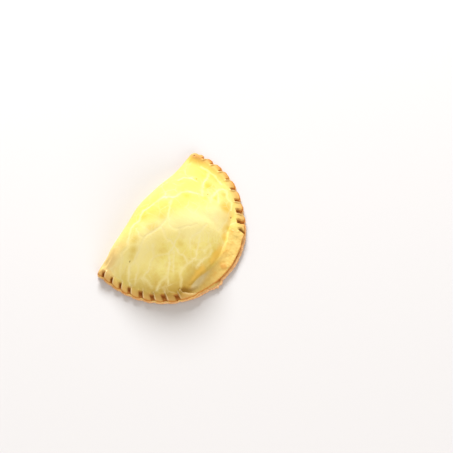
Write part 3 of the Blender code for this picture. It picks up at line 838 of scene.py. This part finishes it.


# shortcrust brushed with egg yolk: a satin yellow skin, paler where it has crazed, deeper where the egg
# pooled, golden and then brown towards the thin rim, and dry brown where it is torn or pressed; painted
# highlights on the shoulder, the pale spots and the ridges' edges, and painted shade on the back, at the
# foot, on the ridges' flanks, in the fork marks, the hollow and the gap
pastry = {
    "skin": ("#F3E47C", "#F8ED96"),
    # patterns: size in millimetres, detail, roughness, and the part of the range that is kept
    "clouds": {
        "patches": (14.0, 2.0, 0.5, 0.36, 0.62),
        "pooling": (8.0, 3.0, 0.55, 0.48, 0.70),
        "mottle": (3.2, 3.0, 0.6, 0.34, 0.68),
        "speckle": (1.2, 3.0, 0.6, 0.40, 0.66),
        "fading": (11.0, 2.0, 0.5, 0.40, 0.60),
        "breadth": (4.0, 2.0, 0.5, 0.20, 0.80),
    },
    "crazing": (10.0, 2.2, 4.5),   # cell size, sway of the cells' borders and the size of that sway
    "crackBreadth": (0.5, 1.9),
    # the upper layer's cut edge, the gap under it and the lower layer's edge: rows where each begins and ends
    "edgeBands": {
        "sideEdge": ((4.3, 5.6), (8.2, 7.2)),
        "shadedGap": ((6.7, 7.4), (9.3, 8.5)),
        "lowerEdge": ((8.6, 9.2), (12.0, 11.5)),
    },
    # layers of colour from the bottom up: colour, where it lies, from, to, strength and, for some, what
    # breaks it up
    "layers": [
        ("#E7C862", "pooling", 0.2, 1.0, 0.45),
        ("#E3C25A", "mottle", 0.4, 1.0, 0.28),
        ("#F3E6A6", "speckle", 0.4, 1.0, 0.25),
        # painted shade on the back
        ("#EACD5C", "back", 0.0, 1.0, 0.88),
        # painted highlight along the body's shoulder
        ("#FBF0A6", "paintedShoulderHighlight", 0.1, 1.0, 0.85),
        # painted highlight on the pale spots
        ("#FFF3A8", "paintedHighlight", 0.05, 1.0, 0.90),
        ("#DFC040", "pool", 0.15, 0.85, 0.80),
        # painted shade at the foot of the body
        ("#C6A346", "foot", 0.1, 1.0, 0.92),
        ("#EAC078", "onFold", 0.2, 1.0, 0.60),
        ("#EFCE8A", "leftFold", 0.1, 0.9, 0.80),
        ("#DFB04C", "rightRim", 0.1, 1.0, 0.55),
        ("#DAAF66", "browning", 0.10, 0.80, 0.85),
        ("#DCC06E", "band", 0.0, 1.0, 0.85),
        ("#DEA644", "band", 0.0, 1.0, 0.65, "pooling"),
        ("#D0A854", "band", 0.0, 1.0, 0.45, "mottle"),
        ("#E4D4A0", "dry", 0.15, 0.7, 0.85),
        ("#F6CA5C", "crease", 0.10, 0.9, 0.75),
        ("#D08F38", "blister", 0.2, 0.9, 0.60),
        ("#F8EBB6", "crazed", 0.060, 0.010, 0.27, "fading"),
        ("#FAEEAC", "cracked", 1.9, 0.2, 0.45),
        ("#FBF1BA", "cracked", 0.70, 0.05, 0.50, "fading"),
        ("#E0A458", "knob", 0.1, 0.9, 0.70),
        ("#C88848", "knob", 0.4, 0.9, 0.45, "mottle"),
        ("#CE9442", "beadFall", 0.10, 0.8, 0.75),
        # browned, with painted shade on the falling flank of each ridge
        ("#D6AE62", "toothFall", 0.2, 1.0, 0.70),
        # painted highlight along the crisp raised edge of each ridge
        ("#FBE4B0", "raisedEdgeAndHighlight", 0.15, 1.0, 0.70),
        # browned floors of the fork marks, partly painted shade in the recesses, and darker spots of both at
        # their ends
        ("#C07C36", "pressed", 0.25, 0.9, 0.90),
        ("#B86A30", "outerBrownAndShade", 0.15, 0.85, 0.80),
        ("#9A5616", "innerBrownAndShade", 0.15, 0.85, 0.80),
        ("#E8C27C", "flap", 0.35, 0.9, 0.80),
        # painted shade in the hollow behind the lip
        ("#C6963A", "shadedHollow", 0.2, 0.95, 0.75),
        ("#FBDD9C", "lip", 0.35, 0.8, 0.90),
        ("#946026", "torn", 0.3, 0.9, 0.90),
        ("#C87828", "sideEdge", 0.0, 1.0, 0.90),
        # browned, with painted shadow in the gap between the layers
        ("#BC641C", "shadedGap", 0.0, 1.0, 0.95, "gapOpen"),
        ("#EFBE88", "edgeRow", 8.6, 9.3, 1.0),
        ("#C98A48", "lowerEdge", 0.0, 1.0, 0.50, "speckle"),
        ("#C98F4C", "edgeRow", 10.5, 11.6, 1.0),
        ("#A66B33", "edgeRow", 11.6, 12.2, 0.7, "mottle"),
        ("#5E3512", "pinhole", 0.2, 0.9, 0.9),
    ],
    "roughness": (0.42, 0.62),
    "ior": 1.4,
    "specular": 0.3,
    "grainDepth": 0.05,
    "grainStrength": 0.6,
}


def pastryMaterial(traceNames):
    material = bpy.data.materials.new("eggWashedShortcrust")
    material.use_nodes = True
    tree = material.node_tree
    shader = tree.nodes["Principled BSDF"]
    place = addNode(tree, "ShaderNodeTexCoord").outputs["Object"]
    source = {}
    for name, (size, detail, roughness, low, high) in pastry["clouds"].items():
        settings = {"Scale": 1.0 / (size * mm), "Detail": detail, "Roughness": roughness}
        cloud = addNode(tree, "ShaderNodeTexNoise", settings, {"Vector": place}).outputs["Fac"]
        settings = {"From Min": low, "From Max": high}
        source[name] = addNode(tree, "ShaderNodeMapRange", settings, {"Value": cloud}).outputs["Result"]
    for name in traceNames:
        source[name] = addNode(tree, "ShaderNodeAttribute", {"attribute_name": name}).outputs["Fac"]

    # crazed cells with swaying borders, and the drawn cracks made uneven in breadth
    size, sway, swaySize = pastry["crazing"]
    settings = {"Scale": 1.0 / (swaySize * mm), "Detail": 3.0}
    swaying = addNode(tree, "ShaderNodeTexNoise", settings, {"Vector": place}).outputs["Color"]
    settings = {"operation": "MULTIPLY_ADD", 1: (sway * mm, sway * mm, sway * mm)}
    swayed = addNode(tree, "ShaderNodeVectorMath", settings, {0: swaying, 2: place}).outputs[0]
    settings = {"feature": "DISTANCE_TO_EDGE", "Scale": 1.0 / (size * mm)}
    crazed = addNode(tree, "ShaderNodeTexVoronoi", settings, {"Vector": swayed}).outputs["Distance"]
    settings = {"operation": "SUBTRACT", 0: 1.0}
    bare = addNode(tree, "ShaderNodeMath", settings, {1: source["skinned"]}).outputs[0]
    source["crazed"] = addNode(tree, "ShaderNodeMath", {"operation": "ADD"}, {0: crazed, 1: bare}).outputs[0]
    narrow, broad = pastry["crackBreadth"]
    settings = {"From Min": 0.0, "From Max": 1.0, "To Min": narrow, "To Max": broad}
    breadth = addNode(tree, "ShaderNodeMapRange", settings, {"Value": source["breadth"]}).outputs["Result"]
    links = {0: source["drawnCrack"], 1: breadth}
    source["cracked"] = addNode(tree, "ShaderNodeMath", {"operation": "MULTIPLY"}, links).outputs[0]

    # each band of the edge is a rise times a fall over the rows
    for name, ranges in pastry["edgeBands"].items():
        shares = []
        for low, high in ranges:
            settings = {"From Min": low, "From Max": high}
            share = addNode(tree, "ShaderNodeMapRange", settings, {"Value": source["edgeRow"]})
            shares.append(share.outputs["Result"])
        links = {0: shares[0], 1: shares[1]}
        source[name] = addNode(tree, "ShaderNodeMath", {"operation": "MULTIPLY"}, links).outputs[0]

    # the skin in two shades, then the layers over it
    under, over = [toLinear(shade) + [1.0] for shade in pastry["skin"]]
    settings = {"data_type": "RGBA", 6: under, 7: over}
    colour = addNode(tree, "ShaderNodeMix", settings, {0: source["patches"]}).outputs[2]
    for shade, where, low, high, strength, *veil in pastry["layers"]:
        settings = {"From Min": low, "From Max": high, "To Max": strength}
        share = addNode(tree, "ShaderNodeMapRange", settings, {"Value": source[where]}).outputs["Result"]
        if veil:
            links = {0: share, 1: source[veil[0]]}
            share = addNode(tree, "ShaderNodeMath", {"operation": "MULTIPLY"}, links).outputs[0]
        settings = {"data_type": "RGBA", 7: toLinear(shade) + [1.0]}
        colour = addNode(tree, "ShaderNodeMix", settings, {0: share, 6: colour}).outputs[2]
    tree.links.new(colour, shader.inputs["Base Color"])

    low, high = pastry["roughness"]
    settings = {"From Min": 0.0, "From Max": 1.0, "To Min": low, "To Max": high}
    sheen = addNode(tree, "ShaderNodeMapRange", settings, {"Value": source["mottle"]}).outputs["Result"]
    tree.links.new(sheen, shader.inputs["Roughness"])
    shader.inputs["IOR"].default_value = pastry["ior"]
    shader.inputs["Specular IOR Level"].default_value = pastry["specular"]
    settings = {"Strength": pastry["grainStrength"], "Distance": pastry["grainDepth"] * mm}
    bump = addNode(tree, "ShaderNodeBump", settings, {"Height": source["speckle"]})
    tree.links.new(bump.outputs["Normal"], shader.inputs["Normal"])
    return material


crust.data.materials.append(pastryMaterial(traceNames))
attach(crust, "root")
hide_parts("turnover")
print("pastry finished")


# the photograph's view in degrees and millimetres: turned and raised about a place on the floor, with a
# slide across the picture
view = {
    "azimuth": 57.0,
    "elevation": 62.0,
    "distance": 686.0,
    "slide": (25.5, 8.5),
    "start": (1.70, -2.51),
    "fieldOfView": 28.0,
    "nearest": 10.0,
}


def addCamera():
    turn, rise = math.radians(view["azimuth"]), math.radians(view["elevation"])
    across = Vector((math.cos(turn), -math.sin(turn), 0.0))
    ahead = Vector((math.sin(turn), math.cos(turn), 0.0))
    back = -ahead * math.cos(rise) + Vector((0.0, 0.0, 1.0)) * math.sin(rise)
    up = ahead * math.sin(rise) + Vector((0.0, 0.0, 1.0)) * math.cos(rise)
    place = back * view["distance"] + across * view["slide"][0] + up * view["slide"][1]
    place += Vector((view["start"][0], view["start"][1], 0.0))
    data = bpy.data.cameras.new("photoCamera")
    data.angle = math.radians(view["fieldOfView"])
    data.clip_start = view["nearest"] * mm
    camera = bpy.data.objects.new("photoCamera", data)
    bpy.context.scene.collection.objects.link(camera)
    camera.location = place * mm
    camera.rotation_euler = back.to_track_quat("Z", "Y").to_euler()
    bpy.context.scene.camera = camera


# a low broad window behind, a soft fill from the front, a white room and a matte paper floor, in metres
studio = {
    # azimuth, elevation, breadth, height and power of each soft light, all from this far
    "lights": {
        "window": (43.0, 26.5, 1.6, 0.85, 152.0),
        "softFillFront": (238.0, 27.0, 2.8, 1.8, 41.0),
    },
    "lightDistance": 3.0,
    "roomColour": "#FFF1E2",
    "roomStrength": 0.54,
    "floorColour": "#D7D8DB",
    "floorSize": 6.0,
    "floorTop": -0.0002,
    "floorRoughness": 0.85,
    "floorSpecular": 0.2,
}


def addStudio():
    for name, (azimuth, elevation, breadth, height, power) in studio["lights"].items():
        turn, rise = math.radians(azimuth), math.radians(elevation)
        towards = Vector((math.cos(turn) * math.cos(rise), math.sin(turn) * math.cos(rise), math.sin(rise)))
        data = bpy.data.lights.new(name, "AREA")
        data.shape = "ELLIPSE"
        data.size, data.size_y = breadth, height
        data.energy = power
        light = bpy.data.objects.new(name, data)
        bpy.context.scene.collection.objects.link(light)
        light.location = towards * studio["lightDistance"]
        light.rotation_euler = towards.to_track_quat("Z", "Y").to_euler()

    room = bpy.data.worlds.new("whiteRoom")
    room.use_nodes = True
    background = room.node_tree.nodes["Background"]
    background.inputs["Color"].default_value = toLinear(studio["roomColour"]) + [1.0]
    background.inputs["Strength"].default_value = studio["roomStrength"]
    bpy.context.scene.world = room
    bpy.context.scene.view_settings.view_transform = "Standard"

    bpy.ops.object.select_all(action="DESELECT")
    bpy.ops.mesh.primitive_plane_add(size=studio["floorSize"], location=(0, 0, studio["floorTop"]))
    floor = bpy.context.object
    floor.name = "paleFloor"
    paper = bpy.data.materials.new("mattePaper")
    paper.use_nodes = True
    shader = paper.node_tree.nodes["Principled BSDF"]
    shader.inputs["Base Color"].default_value = toLinear(studio["floorColour"]) + [1.0]
    shader.inputs["Roughness"].default_value = studio["floorRoughness"]
    shader.inputs["Specular IOR Level"].default_value = studio["floorSpecular"]
    floor.data.materials.append(paper)


addCamera()
addStudio()
print("camera and studio placed")
